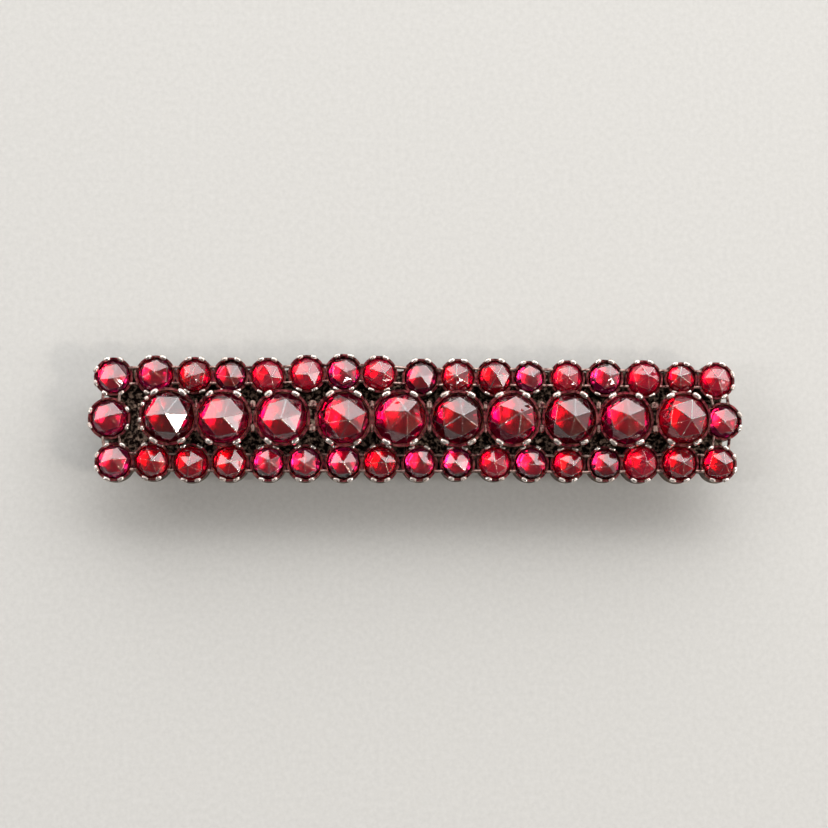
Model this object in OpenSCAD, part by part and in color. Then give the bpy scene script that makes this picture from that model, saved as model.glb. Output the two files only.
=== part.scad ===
// A bar brooch of rose-cut garnets: a border of small stones round a raised row of large ones.
// X runs along the bar, Y up its face, and Z from the pin behind to the stones in front.
// The brooch lies on its back, so the floor under the hinge and the catch is Z = 0.

/* [Border garnets] */
// Diameter of a border garnet at its girdle
small_d = 2.6; // [2.2:0.05:3]
// Height of a border garnet's crown above its girdle
small_crown = 1.05; // [0.8:0.05:1.3]
// Garnets in each of the two long rows
border_count = 17; // [15:1:19]
// Room between two border garnets in a row
small_room = 0.28; // [0.24:0.02:0.5]
// How far the garnet at each end stands out past the corner garnets
end_bulge = 0.47; // [0.2:0.01:0.8]

/* [Centre garnets] */
// Diameter of a centre garnet at its girdle
large_d = 3.96; // [3.5:0.02:4.4]
// Height of a centre garnet's crown above its girdle
large_crown = 1.7; // [1.3:0.05:2]
// Garnets in the raised centre row
centre_count = 10; // [8:1:11]
// Room between two centre garnets
large_room = 0.4; // [0.36:0.02:0.6]
// Distance that the centre row sits off the middle, towards the right end
centre_shift = 0.6; // [0.4:0.05:0.9]
// Height of the centre girdles above the border girdles
centre_lift = 1.1; // [0.9:0.05:1.5]

/* [Rose cut] */
// Height of a stone's straight girdle edge
girdle_t = 0.12; // [0.08:0.01:0.2]
// Depth of a stone's bevelled flat back below its girdle
back_depth = 0.22; // [0.15:0.01:0.3]
// Width of the six-sided star as a share of the stone's width
star_share = 0.76; // [0.68:0.01:0.8]
// Height of the star's corners as a share of the crown's height
star_rise = 0.6; // [0.55:0.01:0.68]
// Width of the flat back as a share of the stone's width
back_share = 0.82; // [0.6:0.01:0.9]

/* [Settings] */
// Wall of each small cup round its stone
cup_wall = 0.14; // [0.12:0.01:0.17]
// Wall of each large collar round its stone
collar_wall = 0.18; // [0.14:0.01:0.22]
// Clear gap between a stone and its metal
stone_gap = 0.03; // [0.02:0.005:0.04]
// Height of a small cup's rim above its stone's girdle
rim_rise = 0.16; // [0.14:0.01:0.2]
// Height of a large collar's rim above its stone's girdle
collar_rise = 0.2; // [0.16:0.01:0.26]
// Height of a border girdle above the base plate
small_rise = 0.9; // [0.6:0.05:1.2]
// Height of a large collar
collar_h = 0.55; // [0.5:0.05:0.7]
// Height of the flare below a large collar
flare_h = 0.5; // [0.3:0.05:0.6]
// Diameter of the stem that carries a large collar
stem_d = 2.7; // [2:0.1:2.9]
// Thickness of the base plate behind the border
plate_t = 0.4; // [0.3:0.05:0.6]
// Width of the rail that joins the centre cups
rail_w = 1.9; // [1.4:0.1:2.4]
// Thickness of the rail that joins the centre cups
rail_t = 0.35; // [0.25:0.05:0.5]
// Clear gap between two pieces of metal
piece_gap = 0.03; // [0.02:0.01:0.05]

/* [Grains] */
// Diameter of a grain raised over a small stone's edge
grain_d = 0.27; // [0.24:0.01:0.3]
// Length of a grain raised over a small stone's edge
grain_l = 0.44; // [0.36:0.02:0.5]
// Diameter of a grain raised over a large stone's edge
big_grain_d = 0.36; // [0.3:0.01:0.4]
// Length of a grain raised over a large stone's edge
big_grain_l = 0.6; // [0.4:0.05:0.7]
// Diameter of the long grain that two small stones share
bridge_d = 0.24; // [0.2:0.01:0.26]
// Distance of a shared small grain from the row's centre line
bridge_offset = 0.62; // [0.5:0.02:0.75]
// Reach of a shared small grain over each of its two stones
bridge_reach = 0.04; // [0:0.01:0.05]
// Length of the block that two large stones share
block_l = 0.62; // [0.5:0.02:0.7]
// Distance of the upper shared block from the centre line
block_above = 1; // [0.9:0.05:1.1]
// Distance of the lower shared block from the centre line
block_below = 0.8; // [0.7:0.05:0.9]

/* [End wall] */
// Width of the upright wall that closes the rail's left end
wall_w = 2; // [1.4:0.1:2.4]
// Height of that wall above the rail
wall_h = 1; // [0.6:0.1:1.2]
// Thickness of that wall
wall_t = 0.16; // [0.12:0.02:0.3]

/* [Pin] */
// Clear height behind the base plate, filled by the hinge and the catch
pin_drop = 2.7; // [2.4:0.1:3.4]
// Diameter of the pin's stem
pin_d = 1; // [0.92:0.02:1.1]
// Diameter of the hinge barrel and of the catch
barrel_d = 2.2; // [2:0.1:2.4]
// Height of the barrel's axis above the floor
barrel_z = 0.95; // [0.85:0.01:0.98]
// Length of the hinge barrel, across the bar
hinge_w = 4.6; // [3.4:0.2:5.4]
// Thickness of the hinge's and the catch's upright posts
post_t = 1.2; // [0.8:0.1:1.6]
// Width of the catch along the bar
catch_w = 2.2; // [1.6:0.1:3]
// Thickness of the catch's curled strip
catch_t = 0.4; // [0.3:0.05:0.5]
// Thickness of the pads that carry the hinge and the catch
pad_t = 0.5; // [0.3:0.1:0.7]
// Margin of each pad round its post
pad_margin = 0.7; // [0.4:0.1:1]
// Distance of the hinge from the right end stone
hinge_inset = 6.5; // [5:0.5:9]
// Distance of the catch from the left end stone
catch_inset = 7.5; // [7:0.5:10]
// Diameter of the pin's thinner free end past the catch
tip_d = 0.6; // [0.5:0.02:0.6]
// Straight length of the pin's free end
tip_free = 3.2; // [2.5:0.1:3.4]
// Length of the pin's sharpened point
point_l = 1.5; // [1:0.1:1.8]

/* [Hidden] */
// Columns of every stone table below: shift along its row and shift out from the brooch's
// middle, both as shares of the row's pitch, then the size as a share of the nominal diameter,
// the turn of its star in degrees, and the tip's offset as shares of the stone's radius.
TOP_ROW = [
    [-0.07, -0.04, 1.00, 10,  0.04, -0.20],
    [ 0.03,  0.00, 1.05, 25, -0.01,  0.11],
    [ 0.06,  0.00, 0.97, 20, -0.16, -0.11],
    [ 0.01,  0.01, 0.93, 55,  0.04, -0.21],
    [-0.02,  0.00, 0.96, 50,  0.27, -0.13],
    [ 0.02,  0.07, 0.98,  5,  0.08, -0.13],
    [ 0.00,  0.10, 0.99, 25,  0.14, -0.05],
    [-0.06,  0.07, 0.96, 35,  0.30, -0.05],
    [ 0.06, -0.01, 0.99, 10, -0.02, -0.03],
    [ 0.04,  0.00, 0.97, 30, -0.15,  0.00],
    [ 0.03,  0.00, 1.00,  0,  0.07,  0.06],
    [-0.05,  0.00, 0.87, 35,  0.20, -0.03],
    [-0.03,  0.00, 0.93, 20, -0.02,  0.00],
    [-0.01,  0.00, 0.98, 15,  0.20,  0.08],
    [ 0.04, -0.02, 1.01, 45,  0.15,  0.15],
    [ 0.05,  0.00, 0.86, 30, -0.20,  0.10],
    [ 0.00, -0.05, 0.98, 55, -0.04,  0.08],
];
BOTTOM_ROW = [
    [-0.01,  0.00, 1.00, 10,  0.03,  0.12],
    [-0.02, -0.02, 0.99, 50,  0.07, -0.03],
    [ 0.00,  0.02, 1.00, 25, -0.11, -0.25],
    [ 0.01,  0.00, 1.00, 15,  0.09, -0.05],
    [ 0.02,  0.02, 0.95, 28,  0.10,  0.10],
    [-0.01,  0.01, 0.96, 32, -0.03, -0.10],
    [ 0.00,  0.00, 1.00,  0, -0.01, -0.05],
    [-0.02,  0.00, 0.99,  0,  0.27, -0.03],
    [ 0.01,  0.01, 0.94, 55,  0.25,  0.00],
    [ 0.02,  0.00, 0.90, 10, -0.15, -0.03],
    [ 0.02, -0.01, 0.94, 40, -0.08,  0.00],
    [-0.03,  0.00, 0.95,  0,  0.27, -0.15],
    [-0.03,  0.02, 0.91, 35,  0.30, -0.13],
    [-0.04,  0.01, 0.92, 15,  0.16, -0.20],
    [-0.09, -0.02, 1.02, 30,  0.30,  0.00],
    [-0.04, -0.03, 1.04, 35,  0.13, -0.05],
    [ 0.02, -0.01, 0.96, 15,  0.28, -0.09],
];
CENTRE_ROW = [
    [ 0.01,  0.01, 1.00,  0, -0.03,  0.01],
    [-0.04, -0.01, 0.99, 10,  0.04, -0.07],
    [-0.03,  0.00, 0.98, 12, -0.01, -0.15],
    [ 0.04,  0.00, 1.00, 18,  0.20, -0.18],
    [ 0.02,  0.00, 1.00, 45,  0.26,  0.15],
    [ 0.03,  0.00, 0.98, 32,  0.12,  0.03],
    [-0.01,  0.00, 0.98, 32,  0.24,  0.15],
    [ 0.00,  0.01, 0.99, 20,  0.08, -0.01],
    [-0.02,  0.00, 0.97, 30,  0.02,  0.08],
    [ 0.00,  0.01, 0.97, 15,  0.15, -0.10],
];
LEFT_END = [0, 0, 1.1, 15, 0.05, 0.06];
RIGHT_END = [0, 0, 1, 13, -0.06, -0.09];

// Share of the tip's offset that the star's corners follow
STAR_FOLLOW = 0.4;
// Largest wander of a star's corner, in degrees and as a share of its radius
CORNER_SWING = 5;
CORNER_WANDER = 0.05;
// Angles of a border stone's grains from straight outwards and from straight inwards
OUTER_GRAIN_ANGLE = 22;
INNER_GRAIN_ANGLE = 26;
// Angle of a large stone's grains from straight across the bar
BIG_GRAIN_ANGLE = 30;
// Angles round the first large collar of the four beads at the left end, and their diameter
END_BEAD_ANGLES = [140, 155, 188, 206];
END_BEAD_D = 0.3;
// Room that the raised collar at the right end may take above the end stone's cup
END_OVERLAP = 0.4;
// Height of a grain's centre above the rim that carries it, as a share of the grain's diameter
GRAIN_SIT = 0.16;
// Bevel at the ends of a long grain as a share of its diameter
BAR_BEVEL = 0.24;
// Radius of the pin's blunted tip
TIP_R = 0.07;
// Length of the shoulder where the pin grows thinner, and its distance from the catch
SHOULDER = 0.2;

small_r = small_d / 2;
large_r = large_d / 2;
cup_r = small_r + stone_gap + cup_wall;
collar_r = large_r + stone_gap + collar_wall;
row_y = small_r + large_r + piece_gap;
large_pitch = large_d + large_room;
centre_half = (centre_count - 1) * large_pitch / 2 + collar_r;
end_x_needed = centre_shift + centre_half - END_OVERLAP + cup_r;
small_pitch = max(small_d + small_room, 2 * (end_x_needed - end_bulge) / (border_count - 1));
corner_x = small_pitch * (border_count - 1) / 2;
end_x = corner_x + end_bulge;

plate_z = pin_drop;
plate_top = plate_z + plate_t;
small_z = plate_top + small_rise;
small_rim_z = small_z + rim_rise;
large_z = small_z + centre_lift;
large_rim_z = large_z + collar_rise;
rail_z = plate_top + piece_gap;
collar_z = large_rim_z - collar_h;
stone_depth = girdle_t + back_depth + stone_gap;

hinge_x = end_x - hinge_inset;
catch_x = -end_x + catch_inset;
stem_z = barrel_z - barrel_d / 2 + catch_t + pin_d / 2 - piece_gap;
shoulder_x = catch_x - catch_w / 2 - SHOULDER;
free_x = shoulder_x - SHOULDER;

gilt = "#6A5844";
garnet_red = "#7A0A22";

// One stone as [x, y, radius, turn, tip x, tip y, outward angle]
function set_stone(x, y, out, pitch, d, row) = [
    x + row[0] * pitch * abs(sin(out)),
    y + row[1] * pitch * sin(out),
    row[2] * d / 2, row[3], row[4], row[5], out
];
function long_row(table, out) = [
    for (i = [0:border_count - 1])
        set_stone(-corner_x + i * small_pitch, row_y * sin(out), out, small_pitch, small_d,
                  table[i % len(table)])
];
function backwards(list) = [for (i = [len(list) - 1:-1:0]) list[i]];

// The stones where the rows put them, before the whole face is centred on the origin
top_laid = long_row(TOP_ROW, 90);
bottom_laid = long_row(BOTTOM_ROW, 270);
left_laid = set_stone(-end_x, 0, 180, small_pitch, small_d, LEFT_END);
right_laid = set_stone(end_x, 0, 0, small_pitch, small_d, RIGHT_END);
centre_laid = [
    for (i = [0:centre_count - 1])
        set_stone(centre_shift + (i - (centre_count - 1) / 2) * large_pitch, 0, 90,
                  large_pitch, large_d, CENTRE_ROW[i % len(CENTRE_ROW)])
];
border_laid = concat(top_laid, bottom_laid, [left_laid, right_laid]);
middle = [
    (max([for (s = border_laid) s.x + s[2]]) + min([for (s = border_laid) s.x - s[2]])) / 2,
    (max([for (s = border_laid) s.y + s[2]]) + min([for (s = border_laid) s.y - s[2]])) / 2
];
function centred(s) = [s.x - middle.x, s.y - middle.y, s[2], s[3], s[4], s[5], s[6]];

top_stones = [for (s = top_laid) centred(s)];
bottom_stones = [for (s = bottom_laid) centred(s)];
left_stone = centred(left_laid);
right_stone = centred(right_laid);
centre_stones = [for (s = centre_laid) centred(s)];
// The border read clockwise from the top left corner
ring = concat(top_stones, [right_stone], backwards(bottom_stones), [left_stone]);
corners = [top_stones[0], top_stones[border_count - 1],
           bottom_stones[0], bottom_stones[border_count - 1]];

// A closed ring of points at one height, round a centre that leans with the tip
function level(n, r, turn, z, lean = [0, 0]) = [
    for (i = [0:n - 1]) [
        lean.x + r * cos(turn + 360 * i / n), lean.y + r * sin(turn + 360 * i / n), z
    ]
];
// The star's six corners, each a little off its even place as hand-cut ones are
function star_corners(r, crown, turn, lean) =
    let (swing = rands(-CORNER_SWING, CORNER_SWING, 6, 100 * r + turn),
         wander = rands(1 - CORNER_WANDER, 1 + CORNER_WANDER, 6, 50 * r + turn))
    [for (i = [0:5]) [
        lean.x + star_share * r * wander[i] * cos(turn + 60 * i + swing[i]),
        lean.y + star_share * r * wander[i] * sin(turn + 60 * i + swing[i]),
        star_rise * crown
    ]];

// A rose cut: six star facets to the tip, eighteen below them, a girdle and a flat back
module garnet(stone, crown, z) {
    r = stone[2];
    turn = stone[3];
    tip = [stone[4] * r, stone[5] * r];
    star = [for (i = [0:5]) 1 + i];
    girdle = [for (j = [0:11]) 7 + j];
    edge = [for (j = [0:11]) 19 + j];
    back = [for (j = [0:11]) 31 + j];
    points = concat(
        [[tip.x, tip.y, crown]],
        star_corners(r, crown, turn, STAR_FOLLOW * tip),
        level(12, r, turn, 0),
        level(12, r, turn, -girdle_t),
        level(12, r * back_share, turn, -girdle_t - back_depth)
    );
    faces = concat(
        [for (i = [0:5]) [0, star[(i + 1) % 6], star[i]]],
        [for (i = [0:5]) [star[i], star[(i + 1) % 6], girdle[2 * i + 1]]],
        [for (i = [0:5]) [star[i], girdle[2 * i + 1], girdle[2 * i]]],
        [for (i = [0:5]) [star[i], girdle[2 * i], girdle[(2 * i + 11) % 12]]],
        [for (j = [0:11]) [girdle[j], girdle[(j + 1) % 12], edge[(j + 1) % 12], edge[j]]],
        [for (j = [0:11]) [edge[j], edge[(j + 1) % 12], back[(j + 1) % 12], back[j]]],
        [back]
    );
    color(garnet_red)
        translate([stone.x, stone.y, z])
            polyhedron(points, faces);
}

// A bar with bevelled ends that lies level along the given angle, centred on the origin
module long_grain(l, d, angle) {
    bevel = d * BAR_BEVEL;
    rotate([0, 0, angle])
        rotate([0, 90, 0])
            rotate_extrude($fn = 24)
                polygon([[0, -l / 2], [d / 2 - bevel, -l / 2], [d / 2, -l / 2 + bevel],
                         [d / 2, l / 2 - bevel], [d / 2 - bevel, l / 2], [0, l / 2]]);
}

// What it is given, at an angle round a stone, against the wall that carries it
module on_wall(stone, angle, d, wall, rim_z) {
    reach = stone[2] + stone_gap + wall / 2;
    translate([stone.x + reach * cos(angle), stone.y + reach * sin(angle), rim_z + GRAIN_SIT * d])
        children();
}

// A grain at an angle round a small stone, lying along its cup's rim
module small_grain(stone, angle) {
    on_wall(stone, angle, grain_d, cup_wall, small_rim_z)
        long_grain(grain_l, grain_d, angle + 90);
}

// Free width between two stones on a line beside their centres
function room_between(a, b, beside) =
    norm([b.x - a.x, b.y - a.y])
    - sqrt(max(0, pow(a[2], 2) - pow(beside, 2)))
    - sqrt(max(0, pow(b[2], 2) - pow(beside, 2)));

// A grain on the line between two stones, moved sideways from it
module between(a, b, aside, z) {
    dir = atan2(b.y - a.y, b.x - a.x);
    gap_middle = (norm([b.x - a.x, b.y - a.y]) + a[2] - b[2]) / 2;
    translate([a.x, a.y, z])
        rotate([0, 0, dir])
            translate([gap_middle, aside, 0])
                children();
}

// Base plate, 36 cups soldered to it side by side, and the grains that hold the stones
module border_setting() {
    color(gilt) {
        difference() {
            union() {
                translate([-corner_x - bridge_offset - middle.x, -row_y - bridge_offset - middle.y,
                           plate_z])
                    cube([2 * (corner_x + bridge_offset), 2 * (row_y + bridge_offset), plate_t]);
                for (s = ring)
                    translate([s.x, s.y, plate_z])
                        cylinder(h = small_rim_z - plate_z, r = s[2] + stone_gap + cup_wall, $fn = 48);
            }
            for (s = ring)
                translate([s.x, s.y, small_z - stone_depth])
                    cylinder(h = stone_depth + 2 * rim_rise, r = s[2] + stone_gap, $fn = 48);
        }
        for (s = ring)
            for (side = [-1, 1]) {
                small_grain(s, s[6] + side * OUTER_GRAIN_ANGLE);
                small_grain(s, s[6] + 180 + side * INNER_GRAIN_ANGLE);
            }
        for (s = corners)
            for (side = [-1, 1])
                small_grain(s, (s.x < 0 ? 180 : 0) + side * OUTER_GRAIN_ANGLE);
        for (i = [0:len(ring) - 1])
            for (side = [-1, 1]) {
                a = ring[i];
                b = ring[(i + 1) % len(ring)];
                l = room_between(a, b, bridge_offset - bridge_d / 2) + 2 * bridge_reach;
                between(a, b, side * bridge_offset, small_rim_z + GRAIN_SIT * bridge_d)
                    long_grain(l, bridge_d, 0);
            }
    }
}

// A flared cup on its stem, without its bore
module large_cup(s) {
    top_r = s[2] + stone_gap + collar_wall;
    translate([s.x, s.y, rail_z])
        cylinder(h = collar_z - flare_h - rail_z, d = stem_d, $fn = 48);
    translate([s.x, s.y, collar_z - flare_h])
        cylinder(h = flare_h, r1 = stem_d / 2, r2 = top_r, $fn = 48);
    translate([s.x, s.y, collar_z])
        cylinder(h = collar_h, r = top_r, $fn = 48);
}

// The raised row: a rail, ten flared cups, their grains and the wall at the left end
module centre_setting() {
    first = centre_stones[0];
    last = centre_stones[centre_count - 1];
    wall_x = first.x - collar_r - wall_t;
    color(gilt) {
        difference() {
            union() {
                translate([wall_x, -rail_w / 2, rail_z])
                    cube([last.x - wall_x, rail_w, rail_t]);
                translate([wall_x, -wall_w / 2, rail_z])
                    cube([wall_t, wall_w, rail_t + wall_h]);
                for (s = centre_stones)
                    large_cup(s);
            }
            for (s = centre_stones)
                translate([s.x, s.y, large_z - stone_depth])
                    cylinder(h = stone_depth + 2 * collar_rise, r = s[2] + stone_gap, $fn = 48);
        }
        for (s = centre_stones)
            for (across = [90, 270])
                for (side = [-1, 1]) {
                    a = across + side * BIG_GRAIN_ANGLE;
                    on_wall(s, a, big_grain_d, collar_wall, large_rim_z)
                        long_grain(big_grain_l, big_grain_d, a + 90);
                }
        for (i = [0:centre_count - 2])
            for (aside = [block_above, -block_below]) {
                a = centre_stones[i];
                b = centre_stones[i + 1];
                d = room_between(a, b, abs(aside) - block_l / 2) - 2 * stone_gap - collar_wall;
                between(a, b, aside, large_rim_z)
                    long_grain(block_l, d, 90);
            }
        for (a = END_BEAD_ANGLES)
            on_wall(first, a, END_BEAD_D, collar_wall, large_rim_z)
                sphere(d = END_BEAD_D, $fn = 24);
    }
}

// Hinge, stem, point and catch as one plain piece with two flat feet
module pin() {
    pad_z = plate_z - piece_gap - pad_t;
    thin_from = hinge_x - free_x;
    thin_to = thin_from + tip_free;
    color(gilt) {
        difference() {
            union() {
                translate([hinge_x, 0, barrel_z])
                    rotate([90, 0, 0])
                        cylinder(h = hinge_w, d = barrel_d, center = true, $fn = 48);
                translate([hinge_x - post_t / 2, -hinge_w / 2, barrel_z])
                    cube([post_t, hinge_w, pad_z + pad_t - barrel_z]);
                translate([hinge_x - post_t / 2 - pad_margin, -hinge_w / 2, pad_z])
                    cube([post_t + 2 * pad_margin, hinge_w, pad_t]);
                catch();
            }
            translate([catch_x - catch_w, -hinge_w, -barrel_d])
                cube([hinge_x - catch_x + 2 * catch_w, 2 * hinge_w, barrel_d]);
        }
        translate([hinge_x, 0, stem_z])
            rotate([0, -90, 0])
                rotate_extrude($fn = 32)
                    polygon([[0, 0], [pin_d / 2, 0], [pin_d / 2, hinge_x - shoulder_x],
                             [tip_d / 2, thin_from], [tip_d / 2, thin_to],
                             [TIP_R, thin_to + point_l], [0, thin_to + point_l]]);
    }
}

// A strip curled round the stem, open on one side, with its post and pad
module catch() {
    pad_z = plate_z - piece_gap - pad_t;
    difference() {
        translate([catch_x, 0, barrel_z])
            rotate([0, 90, 0])
                cylinder(h = catch_w, d = barrel_d, center = true, $fn = 48);
        translate([catch_x, 0, barrel_z])
            rotate([0, 90, 0])
                cylinder(h = 2 * catch_w, d = barrel_d - 2 * catch_t, center = true, $fn = 48);
        translate([catch_x - catch_w, 0, barrel_z])
            cube([2 * catch_w, barrel_d, barrel_d]);
    }
    translate([catch_x - catch_w / 2, -barrel_d / 2, barrel_z])
        cube([catch_w, catch_t, pad_z + pad_t - barrel_z]);
    translate([catch_x - catch_w / 2 - pad_margin, -barrel_d / 2, pad_z])
        cube([catch_w + 2 * pad_margin, barrel_d, pad_t]);
}

border_setting();
centre_setting();
pin();
garnet(left_stone, small_crown, small_z);  // garnet_left_end
garnet(right_stone, small_crown, small_z);  // garnet_right_end
for (i = [1:border_count])
    garnet(top_stones[i - 1], small_crown, small_z);
for (i = [1:border_count])
    garnet(bottom_stones[i - 1], small_crown, small_z);
for (i = [1:centre_count])
    garnet(centre_stones[i - 1], large_crown, large_z);
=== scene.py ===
# %% [markdown]
# A bar brooch of rose-cut garnets in darkened gilt tombac
#
# The imported CAD model is the fixed frame. It holds every stone and every piece of metal at
# its real size and place, in metres. This script gives the pieces their looks: it cuts soft
# edges on the stones, lets light into them, lays worn grains over their edges and ages the
# metal, with painted shade in its recesses and a painted reflection of the red stones on its
# rims. Then it sets up the floor, the lights and the camera.

# %% The frame
import math

import bpy
import numpy as np
from mathutils import Matrix, Vector


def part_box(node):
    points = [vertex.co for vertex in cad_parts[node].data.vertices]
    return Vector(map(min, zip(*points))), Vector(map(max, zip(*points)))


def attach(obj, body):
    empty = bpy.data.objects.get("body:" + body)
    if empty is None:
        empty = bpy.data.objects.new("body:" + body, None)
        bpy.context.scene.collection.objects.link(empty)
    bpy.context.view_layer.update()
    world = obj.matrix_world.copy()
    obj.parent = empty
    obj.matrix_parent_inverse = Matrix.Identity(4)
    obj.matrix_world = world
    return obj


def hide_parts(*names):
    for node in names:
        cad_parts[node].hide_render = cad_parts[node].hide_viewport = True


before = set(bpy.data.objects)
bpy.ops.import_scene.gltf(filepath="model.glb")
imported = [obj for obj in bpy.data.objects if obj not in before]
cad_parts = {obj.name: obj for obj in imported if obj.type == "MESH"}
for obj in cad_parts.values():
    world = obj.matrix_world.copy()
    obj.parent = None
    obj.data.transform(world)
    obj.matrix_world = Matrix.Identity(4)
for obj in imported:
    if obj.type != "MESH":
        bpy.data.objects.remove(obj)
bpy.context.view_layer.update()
MM = 0.001
stone_nodes = sorted(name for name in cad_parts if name.startswith("garnet"))
print("pieces in the frame:", len(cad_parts), "of them stones:", len(stone_nodes))

# %% [markdown]
# Small helpers serve every material
#
# Colours are easiest to choose as the sRGB hex values that a painting program shows, but
# shaders count in linear light, so one function turns one into the other. The second adds a
# node with its settings and links in one line, which keeps each material readable. The third
# starts a material, with coordinates that stay with the piece.


# %% Helpers for materials
def linear(hex_colour, alpha=1.0):
    """The linear RGBA of an sRGB hex colour: the sRGB curve undone for each channel."""
    channels = [int(hex_colour[i:i + 2], 16) / 255 for i in (1, 3, 5)]
    undone = [c / 12.92 if c <= 0.04045 else ((c + 0.055) / 1.055) ** 2.4 for c in channels]
    return (*undone, alpha)


def add(tree, kind, inputs=None, **settings):
    """Adds a node, sets its options, and fills its inputs with values or with links."""
    made = tree.nodes.new(kind)
    for option, value in settings.items():
        setattr(made, option, value)
    for socket, value in (inputs or {}).items():
        if isinstance(value, bpy.types.NodeSocket):
            tree.links.new(value, made.inputs[socket])
        else:
            made.inputs[socket].default_value = value
    return made


def new_material(name):
    """An empty material with only its output node, and object coordinates to draw on it by."""
    material = bpy.data.materials.new(name)
    material.use_nodes = True
    tree = material.node_tree
    tree.nodes.clear()
    output = tree.nodes.new("ShaderNodeOutputMaterial")
    place = add(tree, "ShaderNodeTexCoord").outputs["Object"]
    return material, tree, output, place


# %% [markdown]
# Garnet
#
# The stones are pyrope, the deep red garnet of Bohemia, cut by hand as rose cuts: a flat back
# and a crown of triangular facets that meet in a point. Pyrope bends light strongly, with an
# index of refraction of 1.74, and colours it by depth: a thin edge glows crimson and a
# thick stone looks almost black. A red surface would look like paint. So the surface is clear
# and polished, and the red comes from absorption inside.
#
# Natural stones differ. Some are deep, some are bright, and some are clouded by fine
# inclusions that catch light and make the whole stone glow. So there are four tones, each
# with what a millimetre lets through and the share of its light that clouds scatter.

# %% The garnet tones
PYROPE_IOR = 1.74
# Red, green and blue left after one millimetre, then the clouded share
TONES = {
    "deep": ((0.61, 0.12, 0.31), 0.00),
    "full": ((0.74, 0.14, 0.41), 0.00),
    "bright": ((0.82, 0.18, 0.47), 0.08),
    "fiery": ((0.89, 0.23, 0.53), 0.20),
}
# The density lies a little over the greatest loss, so that no tint is fully black
SPARE_DENSITY = 1.02


def absorption(tree, left_after_mm):
    """Absorption inside a stone: density times one minus colour is the loss per metre."""
    losses = [-math.log(share) / MM for share in left_after_mm]
    density = max(losses) * SPARE_DENSITY
    tint = [1 - loss / density for loss in losses]
    return add(tree, "ShaderNodeVolumeAbsorption", {
        "Color": (*tint, 1.0), "Density": density,
    }).outputs["Volume"]


print("garnet tones:", ", ".join(TONES))

# %% [markdown]
# Polished facets
#
# A facet that was cut on a hand-held stick isn't quite flat, and a century of wear left faint
# smears on its polish. As shapes, both would take far too many triangles. So one slow noise
# tilts the surface by up to about a degree and a half, which bends reflections by twice
# that, and another takes a little of the gloss away. Clouds inside a stone show as a share
# of matt crimson in the clear surface.

# %% Polished pyrope
FACET_WAVE = 0.7 * MM
WAVE_DEPTH = 0.015 * MM
SMEAR_SIZE = 0.6 * MM


def facet_material(name, left_after_mm, clouded):
    """Polished pyrope: wavy facets with faint smears over a clear red inside."""
    material, tree, output, place = new_material(name)
    wave = add(tree, "ShaderNodeTexNoise", {
        "Vector": place, "Scale": 1 / FACET_WAVE, "Detail": 1.0, "Roughness": 0.4,
    }).outputs["Fac"]
    smear = add(tree, "ShaderNodeTexNoise", {
        "Vector": place, "Scale": 1 / SMEAR_SIZE, "Detail": 4.0, "Roughness": 0.7,
    }).outputs["Fac"]
    polish = add(tree, "ShaderNodeMapRange", {
        "Value": smear, "From Min": 0.40, "From Max": 0.75, "To Min": 0.025, "To Max": 0.06,
    }).outputs["Result"]
    bent = add(tree, "ShaderNodeBump", {
        "Height": wave, "Strength": 1.0, "Distance": WAVE_DEPTH,
    }).outputs["Normal"]
    surface = add(tree, "ShaderNodeBsdfPrincipled", {
        "Base Color": linear("#DC1850" if clouded else "#FFF2F2"), "Roughness": polish,
        "Normal": bent, "IOR": PYROPE_IOR, "Transmission Weight": 1.0 - clouded,
    })
    tree.links.new(surface.outputs["BSDF"], output.inputs["Surface"])
    tree.links.new(absorption(tree, left_after_mm), output.inputs["Volume"])
    return material


facets_of = {tone: facet_material("pyrope_" + tone, *values) for tone, values in TONES.items()}
print("polished pyrope:", len(facets_of), "materials")

# %% [markdown]
# Scuffed ridges
#
# Wear grinds the garnet matt where two facets meet. Such a ridge is a strip of tiny flats,
# and some of them always face a light, so it shows as a thin pale line. Roughness alone
# would only blur it. So the same stone gets a coat with a high index of refraction, which
# throws more light back than bare garnet does.


# %% Scuffed pyrope
def ridge_material(name, left_after_mm):
    """The ridge between two facets: the same stone, matt by wear, with a bright coat."""
    material, tree, output, place = new_material(name)
    grit = add(tree, "ShaderNodeTexNoise", {
        "Vector": place, "Scale": 1 / SMEAR_SIZE, "Detail": 3.0,
    }).outputs["Fac"]
    scuffed = add(tree, "ShaderNodeMapRange", {
        "Value": grit, "From Min": 0.35, "From Max": 0.65, "To Min": 0.06, "To Max": 0.28,
    }).outputs["Result"]
    surface = add(tree, "ShaderNodeBsdfPrincipled", {
        "Base Color": linear("#FFE6E8"), "Roughness": scuffed,
        "IOR": PYROPE_IOR, "Transmission Weight": 0.96,
        "Coat Weight": 0.5, "Coat IOR": 2.0, "Coat Roughness": 0.15,
    })
    tree.links.new(surface.outputs["BSDF"], output.inputs["Surface"])
    tree.links.new(absorption(tree, left_after_mm), output.inputs["Volume"])
    return material


ridges_of = {tone: ridge_material("pyrope_ridge_" + tone, values[0])
             for tone, values in TONES.items()}
print("scuffed pyrope:", len(ridges_of), "materials")

# %% [markdown]
# Joined triangles
#
# A CAD node's mesh is loose triangles, and a bevel has no edge to work on where triangles
# aren't joined. So numpy finds the corners that are the same, keeps each once, and numbers
# the triangles anew. Every new piece is made the same way: its place is in its mesh, its
# object sits at the origin, and it rides on the brooch.

# %% Helpers for meshes
CORNER_DIGITS = 4


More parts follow.
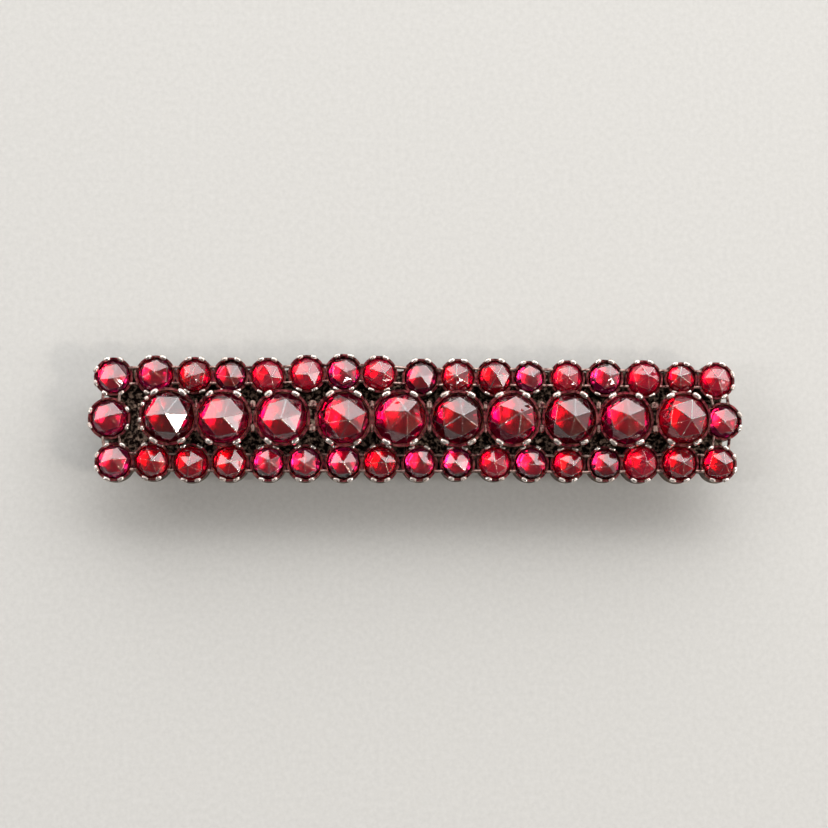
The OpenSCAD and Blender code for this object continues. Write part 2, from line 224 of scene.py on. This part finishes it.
def corners_and_triangles(node):
    """The corners of a CAD node, each once, and its triangles as rows of three corners.

    Corners are the same when they agree to CORNER_DIGITS decimals of a millimetre.
    """
    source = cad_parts[node].data
    corners = np.empty(len(source.vertices) * 3)
    source.vertices.foreach_get("co", corners)
    rounded, which = np.unique(np.round(corners.reshape(-1, 3) / MM, CORNER_DIGITS), axis=0,
                               return_inverse=True)
    triangles = np.empty(len(source.polygons) * 3, int)
    source.polygons.foreach_get("vertices", triangles)
    return rounded * MM, which.reshape(-1)[triangles].reshape(-1, 3)


def new_piece(name, corners, faces):
    """A smooth mesh object at the origin that rides on the brooch."""
    mesh = bpy.data.meshes.new(name)
    mesh.from_pydata(corners, [], faces)
    mesh.polygons.foreach_set("use_smooth", np.ones(len(mesh.polygons), bool))
    made = bpy.data.objects.new(name, mesh)
    bpy.context.scene.collection.objects.link(made)
    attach(made, "root")
    return made


print("corners of the first large stone:", len(corners_and_triangles("garnet_centre_1")[0]))

# %% [markdown]
# The cut stones
#
# Each CAD stone has its own size, turn and tip. A hand-cut stone that was worn for a century
# has ridges that are a little round, some more than others. A bevel as a modifier does this
# best, because its width follows a weight on each edge and it can give the new strip a
# material of its own. The girdle stays sharp, because the metal has always covered it.

# %% Stones with worn ridges
RIDGE_SMALL = 0.034 * MM
RIDGE_LARGE = 0.050 * MM
LEAST_WORN = 0.3
GIRDLE_TO_BACK = 0.34 * MM
JUST_ABOVE = 0.01 * MM
# Stones of each tone, by row and by number from the left. The others are of the full tone
DEEP = {"top": (4, 9), "bottom": (14,), "centre": (1, 6, 8)}
BRIGHT = {"top": (3, 10, 11, 16), "bottom": (2, 3, 4, 8, 13, 16, 17), "centre": (10,)}
FIERY = {"top": (5, 6, 8, 13, 15, 17), "bottom": (11, 15)}
tone_of = {f"garnet_{row}_{number}": tone
           for tone, rows in (("deep", DEEP), ("bright", BRIGHT), ("fiery", FIERY))
           for row, numbers in rows.items() for number in numbers}


def cut_stone(node, chance):
    """One garnet with worn ridges that stands for its CAD node.

    A ridge's wear is the least wear plus the rest times the square of a random share, so
    most ridges are little worn. Edges of the girdle and the back have none.
    """
    corners, triangles = corners_and_triangles(node)
    made = new_piece(node.replace("garnet", "rose_cut"), corners, triangles.tolist())
    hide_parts(node)
    tone = tone_of.get(node, "full")
    made.data.materials.append(facets_of[tone])
    made.data.materials.append(ridges_of[tone])
    ends = np.empty(len(made.data.edges) * 2, int)
    made.data.edges.foreach_get("vertices", ends)
    highest = corners[ends.reshape(-1, 2), 2].max(axis=1)
    girdle = corners[:, 2].min() + GIRDLE_TO_BACK
    worn = LEAST_WORN + (1 - LEAST_WORN) * chance.uniform(0, 1, len(highest)) ** 2
    wear = np.where(highest > girdle + JUST_ABOVE, worn, 0.0)
    weight = made.data.attributes.new("bevel_weight_edge", "FLOAT", "EDGE")
    weight.data.foreach_set("value", wear)
    ridge = made.modifiers.new("worn ridges", "BEVEL")
    ridge.width = RIDGE_LARGE if "centre" in node else RIDGE_SMALL
    ridge.segments = 2
    ridge.limit_method = "WEIGHT"
    ridge.material = 1
    ridge.harden_normals = True
    return made


chance = np.random.default_rng(17)
stones = [cut_stone(node, chance) for node in stone_nodes]
print("cut stones:", len(stones))

# %% [markdown]
# Colour in coats and blotches
#
# Old metal is seldom one colour. Grime, stains and bare specks lie over one another in
# blotches. So a noise that is cut to a range gives the share that a coat covers, and one
# function lays such coats over a ground colour.


# %% Helpers for aged metal
def painted(tree, ground, *coats):
    """A ground colour with coats over it. Each coat is the share it covers and its colour.

    In a Mix node, socket 0 is the share and sockets 6 and 7 are the two colours.
    """
    for share, coat in coats:
        ground = add(tree, "ShaderNodeMix", {0: share, 6: ground, 7: coat},
                     data_type="RGBA").outputs[2]
    return ground


def mottled(tree, place, size, low, high):
    """Noise with blotches of the given size, from 0 where it is low to 1 where it is high."""
    noise = add(tree, "ShaderNodeTexNoise", {
        "Vector": place, "Scale": 1 / size, "Detail": 4.0, "Roughness": 0.65,
    }).outputs["Fac"]
    return add(tree, "ShaderNodeMapRange", {
        "Value": noise, "From Min": low, "From Max": high,
    }).outputs["Result"]


# %% [markdown]
# Darkened gilt tombac, with painted shade and a painted reflection
#
# The settings are stamped and soldered tombac, a brass with much copper, once gilded. After a
# century the level rims have a red-brown patina of copper. The crimson that they would mirror
# from the stones beside them is painted into their colour as a painted reflection.
# The plate in the hollows is darker the deeper it lies below the rims. That is partly grime and
# partly painted shade for the recesses, with specks of bare metal. The walls of the
# cups keep a little darkened gold. Clothes and fingers rub whatever stands above the rims.
# Two places can't be seen in the photo and are assumptions: the floors of the cups, under
# the stones, are bright and send the light back through the garnets, and the back has kept
# more of its gold.
#
# A painted texture would have to be made again whenever a size changes. Here the height of a
# point and the direction of its face tell these places apart, so the material finds them.

# %% The settings' metal
# Real grime and skin are finer. They are drawn as coarse as they need to be to show
STAIN_SIZE = 0.7 * MM
GRIME_GRAIN = 0.3 * MM
SPECK_SIZE = 0.34 * MM
SKIN_GRAIN = 0.14 * MM
SKIN_DEPTH = 0.02 * MM
# From the rim down to where the painted shade and grime are darkest, and up to where rubbing
# starts and ends
SHADE_AND_GRIME_DEPTH = 0.75 * MM
RUB_START = 0.03 * MM
RUB_END = 0.12 * MM
SOFT_EDGE = 0.05 * MM
# Upward share of a face's direction: on walls, on level faces, and on the cup floors
WALL_UP = 0.45
LEVEL_UP = 0.8
FLOOR_UP = 0.9
FLOOR_BAND = 0.01 * MM


def setting_material(name, rim_z, floor_z, back_z):
    """Aged gilt tombac, told apart by height and by the direction of a face.

    Level faces go from speckled grime, darkened as painted shade deep below rim_z, to a
    red-brown copper tarnish near rim_z that is tinted crimson as a painted reflection of the
    stones, and walls keep darkened gilding. Above rim_z all is rubbed, below back_z it is
    gold, and cup floors at floor_z are bright.
    """
    material, tree, output, place = new_material(name)
    height = add(tree, "ShaderNodeSeparateXYZ", {0: place}).outputs["Z"]
    facing = add(tree, "ShaderNodeNewGeometry").outputs["True Normal"]
    upward = add(tree, "ShaderNodeSeparateXYZ", {0: facing}).outputs["Z"]
    # The first share is painted shade: level faces darken from near the rim down to the full
    # depth.
    out_of_shade_near_rim, faces_up, above_rim, at_back = [
        add(tree, "ShaderNodeMapRange", {
            "Value": value, "From Min": start, "From Max": end,
        }).outputs["Result"]
        for value, start, end in (
            (height, rim_z - SHADE_AND_GRIME_DEPTH, rim_z - SOFT_EDGE),
            (upward, WALL_UP, LEVEL_UP),
            (height, rim_z + RUB_START, rim_z + RUB_END),
            (height, back_z + SOFT_EDGE, back_z - SOFT_EDGE),
        )
    ]
    grime = mottled(tree, place, GRIME_GRAIN, 0.40, 0.66)
    stain = mottled(tree, place, STAIN_SIZE, 0.35, 0.65)
    specks = mottled(tree, place, SPECK_SIZE, 0.48, 0.64)
    # Grime with painted shade: the dark ground of level faces deep below the rim, with specks of
    # bare metal.
    grime_and_depth_shade = painted(tree, linear("#1C100E"), (specks, linear("#D8B8A4")))
    # Copper patina and crust, tinted crimson as a painted reflection of the red stones beside
    # the rims.
    patina_and_red_reflection = painted(tree, linear("#B4344A"), (stain, linear("#A87068")))
    crust_and_red_reflection = painted(tree, linear("#3C1119"), (grime, patina_and_red_reflection))
    level_faces = painted(tree, grime_and_depth_shade, (out_of_shade_near_rim, crust_and_red_reflection))
    gilding = painted(tree, linear("#4E3C2C"), (stain, linear("#9A8060")))
    walls = painted(tree, linear("#33261D"), (grime, gilding))
    gold = painted(tree, linear("#4A3620"), (stain, linear("#A8824E")))
    worn, at_floor, level = [
        add(tree, "ShaderNodeMath", inputs, operation=operation).outputs[0]
        for operation, inputs in (
            ("MULTIPLY", {0: above_rim, 1: grime}),
            ("COMPARE", {0: height, 1: floor_z, 2: FLOOR_BAND}),
            ("GREATER_THAN", {0: upward, 1: FLOOR_UP}),
        )
    ]
    cup_floor = add(tree, "ShaderNodeMath", {0: at_floor, 1: level},
                    operation="MULTIPLY").outputs[0]
    colour = painted(tree, walls, (faces_up, level_faces), (worn, linear("#B4A498")),
                     (at_back, gold), (cup_floor, linear("#F0D0A8")))
    dull = add(tree, "ShaderNodeMapRange", {
        "Value": worn, "To Min": 0.52, "To Max": 0.34,
    }).outputs["Result"]
    # For numbers, sockets 2 and 3 of a Mix node are the two values
    roughness = add(tree, "ShaderNodeMix", {0: cup_floor, 2: dull, 3: 0.4}).outputs[0]
    skin = add(tree, "ShaderNodeTexNoise", {
        "Vector": place, "Scale": 1 / SKIN_GRAIN, "Detail": 2.0,
    }).outputs["Fac"]
    relief = add(tree, "ShaderNodeBump", {
        "Height": skin, "Strength": 0.7, "Distance": SKIN_DEPTH,
    }).outputs["Normal"]
    surface = add(tree, "ShaderNodeBsdfPrincipled", {
        "Base Color": colour, "Metallic": 1.0, "Roughness": roughness, "Normal": relief,
    })
    tree.links.new(surface.outputs["BSDF"], output.inputs["Surface"])
    return material


# %% [markdown]
# Rubbed tombac
#
# The raised grains and the pin are of the same metal, but handled all the time. So they are
# bright all over, in two tones, with fine pits. They need no rule for heights, and a simpler
# material serves both: silvery for the grains, golden for the pin.

# %% The rubbed metal
# Real pits are finer. They are drawn as coarse as they need to be to show
PIT_SIZE = 0.06 * MM
PIT_DEPTH = 0.012 * MM
DULLER = 0.15


def rubbed_material(name, low_hex, high_hex, patch, roughness):
    """Rubbed tombac: two tones in patches of the given size, the darker one also duller."""
    material, tree, output, place = new_material(name)
    patches = mottled(tree, place, patch, 0.32, 0.6)
    pits = add(tree, "ShaderNodeTexNoise", {
        "Vector": place, "Scale": 1 / PIT_SIZE, "Detail": 2.0,
    }).outputs["Fac"]
    relief = add(tree, "ShaderNodeBump", {
        "Height": pits, "Strength": 0.4, "Distance": PIT_DEPTH,
    }).outputs["Normal"]
    dull = add(tree, "ShaderNodeMapRange", {
        "Value": patches, "To Min": roughness + DULLER, "To Max": roughness,
    }).outputs["Result"]
    surface = add(tree, "ShaderNodeBsdfPrincipled", {
        "Base Color": painted(tree, linear(low_hex), (patches, linear(high_hex))),
        "Metallic": 1.0, "Roughness": dull, "Normal": relief,
    })
    tree.links.new(surface.outputs["BSDF"], output.inputs["Surface"])
    return material


# %% [markdown]
# The metal pieces
#
# The two settings and the pin are shown as the CAD solids are, so they only get their
# materials. The heights that the materials need are measured on the stones: a stone lies a
# little above its cup's floor, and the rim rises a little above the stone's girdle.

# %% Metal on the pieces
STONE_SEAT = 0.03 * MM
RIM_RISE = 0.16 * MM
COLLAR_RISE = 0.20 * MM
border_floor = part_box("garnet_top_1")[0].z - STONE_SEAT
centre_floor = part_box("garnet_centre_1")[0].z - STONE_SEAT
border_rim = border_floor + STONE_SEAT + GIRDLE_TO_BACK + RIM_RISE
centre_rim = centre_floor + STONE_SEAT + GIRDLE_TO_BACK + COLLAR_RISE
plate_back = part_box("border_setting")[0].z
for node, material in (
    ("border_setting", setting_material("tombac_border", border_rim, border_floor, plate_back)),
    ("centre_setting", setting_material("tombac_centre", centre_rim, centre_floor, plate_back)),
    ("pin", rubbed_material("tombac_pin", "#6A5030", "#C8A268", STAIN_SIZE, 0.3)),
):
    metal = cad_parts[node]
    metal.data.materials.clear()
    metal.data.materials.append(material)
print("border rim at", round(border_rim / MM, 2), "mm, centre rim at",
      round(centre_rim / MM, 2), "mm")

# %% [markdown]
# The raised grains
#
# The setter raises small curls of metal with a graver and rounds each one over the edge of
# its stone, so no two are alike. The CAD model has each as a plain bevelled bar. Here a
# rounded grain with its own swelling and turn is fitted over each bar. All grains of one
# kind are one mesh, worked out with numpy for every grain at once, because two hundred
# objects would be slow to handle.

# %% The shape of a grain
AROUND = 10
ALONG = 6
BLUNTNESS = 3.0


def grain_shape(swell):
    """One lying grain for each row of swell, of half length 1 and half thickness 1.

    With v from pole to pole and u around, x is |cos v| and the distance from the axis is
    |sin v|, both to the power of 2 over the bluntness, which makes blunt round ends. The
    swelling adds up to the first column of swell, as a wave in u and v with the phases in
    the other two.
    """
    v = np.linspace(0, math.pi, ALONG + 2)[1:-1, None]
    u = np.linspace(0, 2 * math.pi, AROUND, endpoint=False)[None, :]
    amount, first, second = (swell[:, i, None, None] for i in range(3))
    power = 2 / BLUNTNESS
    lump = 1 + amount * (1 + np.sin(u + first) * np.sin(2 * v + second)) / 2
    x = np.sign(np.cos(v)) * np.abs(np.cos(v)) ** power * np.ones_like(lump)
    off_axis = np.sin(v) ** power * lump
    body = np.stack([x, off_axis * np.cos(u), off_axis * np.sin(u)], axis=-1)
    body = body.reshape(len(swell), -1, 3)
    poles = np.tile([[[1.0, 0, 0], [-1.0, 0, 0]]], (len(swell), 1, 1))
    return np.concatenate([body, poles], axis=1)


def grain_faces():
    """Quads between the rings and a fan of triangles at each pole, as rows of corners."""
    ring = np.arange(AROUND)
    after = (ring + 1) % AROUND
    quads = [(k * AROUND + a, (k + 1) * AROUND + a, (k + 1) * AROUND + b, k * AROUND + b)
             for k in range(ALONG - 1) for a, b in zip(ring, after)]
    right, left = ALONG * AROUND, ALONG * AROUND + 1
    last = (ALONG - 1) * AROUND
    fans = [(right, a, b) for a, b in zip(ring, after)]
    fans += [(left, last + b, last + a) for a, b in zip(ring, after)]
    return quads + fans


print("faces of a grain:", len(grain_faces()))

# %% [markdown]
# Laying the grains
#
# Every grain starts as the same shape at the origin. Its own small differences in swelling,
# length, thickness and turn come from a random generator with a fixed seed, so they are the
# same each time the script runs.

# %% Grains in a row
rubbed_metal = rubbed_material("tombac_rubbed", "#A08C80", "#F6ECE4", GRIME_GRAIN, 0.26)
SWELLING = (0.02, 0.16)
ANY_PHASE = (0, 6.28)
LONGER = (1.0, 1.18)
THICKER = (1.0, 1.1)
ASKEW = (-0.12, 0.12)


def lay_grains(name, places, half_length, half_thickness, seed):
    """One mesh of grains. Each row of places is x, y, z and the turn along the stone's edge."""
    luck = np.random.default_rng(seed)
    count = len(places)
    swell = np.column_stack([luck.uniform(*SWELLING, count), luck.uniform(*ANY_PHASE, count),
                             luck.uniform(*ANY_PHASE, count)])
    shape = grain_shape(swell)
    shape[:, :, 0] *= half_length * luck.uniform(*LONGER, count)[:, None]
    shape[:, :, 1:] *= half_thickness * luck.uniform(*THICKER, count)[:, None, None]
    turn = places[:, 3] + luck.uniform(*ASKEW, count)
    across, along = np.cos(turn)[:, None], np.sin(turn)[:, None]
    x = shape[:, :, 0] * across - shape[:, :, 1] * along + places[:, 0, None]
    y = shape[:, :, 0] * along + shape[:, :, 1] * across + places[:, 1, None]
    z = shape[:, :, 2] + places[:, 2, None]
    corners = np.stack([x, y, z], axis=-1).reshape(-1, 3)
    one = grain_faces()
    step = shape.shape[1]
    faces = [[corner + step * i for corner in face] for i in range(count) for face in one]
    made = new_piece(name, corners, faces)
    made.data.materials.append(rubbed_metal)
    print(name + ":", count, "grains")


# %% [markdown]
# Where the grains sit
#
# A grain sits on the wall that carries it, across the gap to the stone's edge. A small stone
# has two on its outer side and two on its inner side, and the four stones at the corners
# have two more at the bar's end. A large stone has two above and two below. So angles round
# the stone are enough to place them, and the radius comes from the stone itself.

# %% The grains of all the stones
GRAIN_SIT = 0.16
CUP_WALL = 0.14 * MM
COLLAR_WALL = 0.18 * MM
BACK_BAND = 0.001 * MM


def seat_of(node):
    """Centre of a stone and the radius of its girdle, from the corners of its CAD node."""
    corners, _ = corners_and_triangles(node)
    back = corners[corners[:, 2] < corners[:, 2].min() + BACK_BAND]
    centre = back[:, :2].mean(axis=0)
    return centre, np.linalg.norm(corners[:, :2] - centre, axis=1).max()


def on_edge(node, angles, wall, rim_z, thickness):
    """Places of the grains at the given angles round a stone, on the wall that carries them."""
    centre, radius = seat_of(node)
    turns = np.radians(angles)
    reach = radius + STONE_SEAT + wall / 2
    return np.column_stack([centre[0] + reach * np.cos(turns), centre[1] + reach * np.sin(turns),
                            np.full(len(turns), rim_z + GRAIN_SIT * thickness),
                            turns + math.pi / 2])


OUTER_ANGLE = 22
INNER_ANGLE = 26
BIG_ANGLE = 30
BEAD_ANGLES = (140, 155, 188, 206)
OUTWARD = {"top": 90, "bottom": 270, "left": 180, "right": 0}
# Length and thickness of the CAD bars, and how much larger a grain that covers one is
SMALL_GRAIN = (0.44 * MM, 0.27 * MM)
LARGE_GRAIN = (0.60 * MM, 0.36 * MM)
END_BEAD = (0.30 * MM, 0.30 * MM)
COVER = 1.1

small_places = []
for node in stone_nodes:
    row = node.split("_")[1]
    if row != "centre":
        out = OUTWARD[row]
        angles = [out - OUTER_ANGLE, out + OUTER_ANGLE,
                  out + 180 - INNER_ANGLE, out + 180 + INNER_ANGLE]
        if node in ("garnet_top_1", "garnet_bottom_1"):
            angles += [180 - OUTER_ANGLE, 180 + OUTER_ANGLE]
        if node in ("garnet_top_17", "garnet_bottom_17"):
            angles += [-OUTER_ANGLE, OUTER_ANGLE]
        small_places.append(on_edge(node, angles, CUP_WALL, border_rim, SMALL_GRAIN[1]))
large_places = [
    on_edge(node, [90 - BIG_ANGLE, 90 + BIG_ANGLE, 270 - BIG_ANGLE, 270 + BIG_ANGLE],
            COLLAR_WALL, centre_rim, LARGE_GRAIN[1])
    for node in stone_nodes if "centre" in node
]
bead_places = on_edge("garnet_centre_1", BEAD_ANGLES, COLLAR_WALL, centre_rim, END_BEAD[1])
for name, places, (length, thickness), seed in (
    ("small_grains", np.concatenate(small_places), SMALL_GRAIN, 3),
    ("large_grains", np.concatenate(large_places), LARGE_GRAIN, 5),
    ("end_beads", bead_places, END_BEAD, 7),
):
    lay_grains(name, places, length / 2 * COVER, thickness / 2 * COVER, seed)

# %% [markdown]
# The floor
#
# A plain sheet of matt paper shows the brooch well, because it takes a soft shadow and
# mirrors nothing. A faint pattern of fibres keeps it from looking like empty space.

# %% Pale paper
FLOOR_Z = -0.01 * MM
FLOOR_SIDE = 4.0
FIBRE_SIZE = 0.4 * MM


def pale_floor(side):
    """A flat square of matt pale paper that the brooch lies on."""
    half = side / 2
    mesh = bpy.data.meshes.new("floor")
    mesh.from_pydata([(-half, -half, FLOOR_Z), (half, -half, FLOOR_Z), (half, half, FLOOR_Z),
                      (-half, half, FLOOR_Z)], [], [(0, 1, 2, 3)])
    made = bpy.data.objects.new("floor", mesh)
    bpy.context.scene.collection.objects.link(made)
    material, tree, output, place = new_material("pale_paper")
    fibre = mottled(tree, place, FIBRE_SIZE, 0.3, 0.7)
    surface = add(tree, "ShaderNodeBsdfPrincipled", {
        "Base Color": painted(tree, linear("#BFBDB9"), (fibre, linear("#C8C6C2"))),
        "Roughness": 0.9, "Specular IOR Level": 0.2,
    })
    tree.links.new(surface.outputs["BSDF"], output.inputs["Surface"])
    made.data.materials.append(material)


pale_floor(FLOOR_SIDE)
print("floor:", FLOOR_SIDE, "m wide, at", round(FLOOR_Z / MM, 2), "mm")

# %% [markdown]
# The lights
#
# Each facet of a garnet mirrors one small part of the room, so each light is put where the
# facets that shine in the photo look to. That fits this one view, and it doesn't measure
# the real room. A large soft window behind the bar veils the upper facets. A small lamp at
# the lower right whitens one facet of the first large stone. Thin strips draw short white
# streaks on the wavy facets, where a wider lamp would whiten all of each. Two warm glows
# light only the inside of the stones: reflections and matt surfaces don't see them, so
# they make the crimson edges and nothing else.

# %% Lamps, strips and glows
LIGHT_DISTANCE = 0.6
WHITE = "#FFFFFF"
WARM = "#FFF6EC"
GLOW = "#FFC8A0"


def soft_light(name, azimuth, tilt, width, height, radiance, colour):
    """A flat lamp facing the brooch, at an azimuth from +X and a tilt from straight above.

    Its power is four times its radiance times its area, so a size can change and the
    brightness that a facet mirrors stays.
    """
    data = bpy.data.lights.new(name, "AREA")
    data.shape = "RECTANGLE"
    data.size, data.size_y = width, height
    data.energy = 4 * radiance * width * height
    data.color = linear(colour)[:3]
    made = bpy.data.objects.new(name, data)
    bpy.context.scene.collection.objects.link(made)
    a, t = math.radians(azimuth), math.radians(tilt)
    away = Vector((math.sin(t) * math.cos(a), math.sin(t) * math.sin(a), math.cos(t)))
    made.location = away * LIGHT_DISTANCE
    made.rotation_euler = away.to_track_quat("Z", "Y").to_euler()
    return made


lights = {name: soft_light(name, *values) for name, *values in (
    ("window", 75, 60, 1.40, 0.45, 3.8, WHITE),
    ("lamp", -25.0, 44.8, 0.06, 0.06, 50, WARM),
    ("left_window", 155, 59, 0.20, 0.20, 4, WHITE),
    ("right_lamp", -12, 54, 0.12, 0.12, 5, WHITE),
    ("near_strip", -60, 47.5, 0.24, 0.010, 26, WHITE),
    ("left_strip", -172, 43, 0.014, 0.24, 40, WHITE),
    ("right_fill", 0, 62, 0.40, 0.40, 0.8, WHITE),
    ("right_glow", -24, 45, 0.60, 0.46, 17, GLOW),
    ("left_glow", 178, 42, 0.18, 0.18, 6, GLOW),
)}
lights["window"].visible_transmission = False
for name in ("right_glow", "left_glow"):
    lights[name].visible_glossy = False
    lights[name].visible_diffuse = False

world = bpy.data.worlds.new("room")
world.use_nodes = True
world.node_tree.nodes["Background"].inputs["Color"].default_value = linear("#C8C8C8")
world.node_tree.nodes["Background"].inputs["Strength"].default_value = 0.25
bpy.context.scene.world = world
print("lights:", ", ".join(lights))

# %% [markdown]
# The camera
#
# The photo was taken from almost straight above, a little from the south and the west. The
# lean, the turn, the distance and the lens were fitted together, so that the middles of the
# stones fall where the photo shows them. Such a flat thing hardly tells the distance:
# anything from 80 to 200 mm fits almost as well, with a lean that differs by two degrees.
# The heights of the stones were guesses in that fit.

# %% The photo's view
TILT_SOUTH = math.radians(6.58)
TILT_WEST = math.radians(3.04)
ROLL = math.radians(-0.3)
PHOTO_PIXELS = 828
FOCAL_PIXELS = 1691
CAMERA_DISTANCE = 129.5 * MM
LOOK_HEIGHT = 4.0 * MM
SEEN_AT = (418.0, 418.7)

away = Vector((-math.sin(TILT_WEST), -math.sin(TILT_SOUTH), 0))
away.z = math.sqrt(1 - away.length_squared)
right = Vector((math.cos(ROLL), -math.sin(ROLL), 0))
right = (right - away * right.dot(away)).normalized()
upwards = away.cross(right)
camera_data = bpy.data.cameras.new("camera")
camera_data.sensor_width = 36
camera_data.lens = FOCAL_PIXELS / PHOTO_PIXELS * camera_data.sensor_width
camera_data.shift_x = (PHOTO_PIXELS / 2 - SEEN_AT[0]) / PHOTO_PIXELS
camera_data.shift_y = (SEEN_AT[1] - PHOTO_PIXELS / 2) / PHOTO_PIXELS
camera_data.clip_start = 0.01
camera_data.clip_end = 20
camera = bpy.data.objects.new("camera", camera_data)
bpy.context.scene.collection.objects.link(camera)
turned = Matrix((right, upwards, away)).transposed().to_4x4()
turned.translation = Vector((0, 0, LOOK_HEIGHT)) + away * CAMERA_DISTANCE
camera.matrix_world = turned
bpy.context.scene.camera = camera
bpy.context.scene.view_settings.view_transform = "Standard"
print("lens", round(camera_data.lens, 2), "mm")
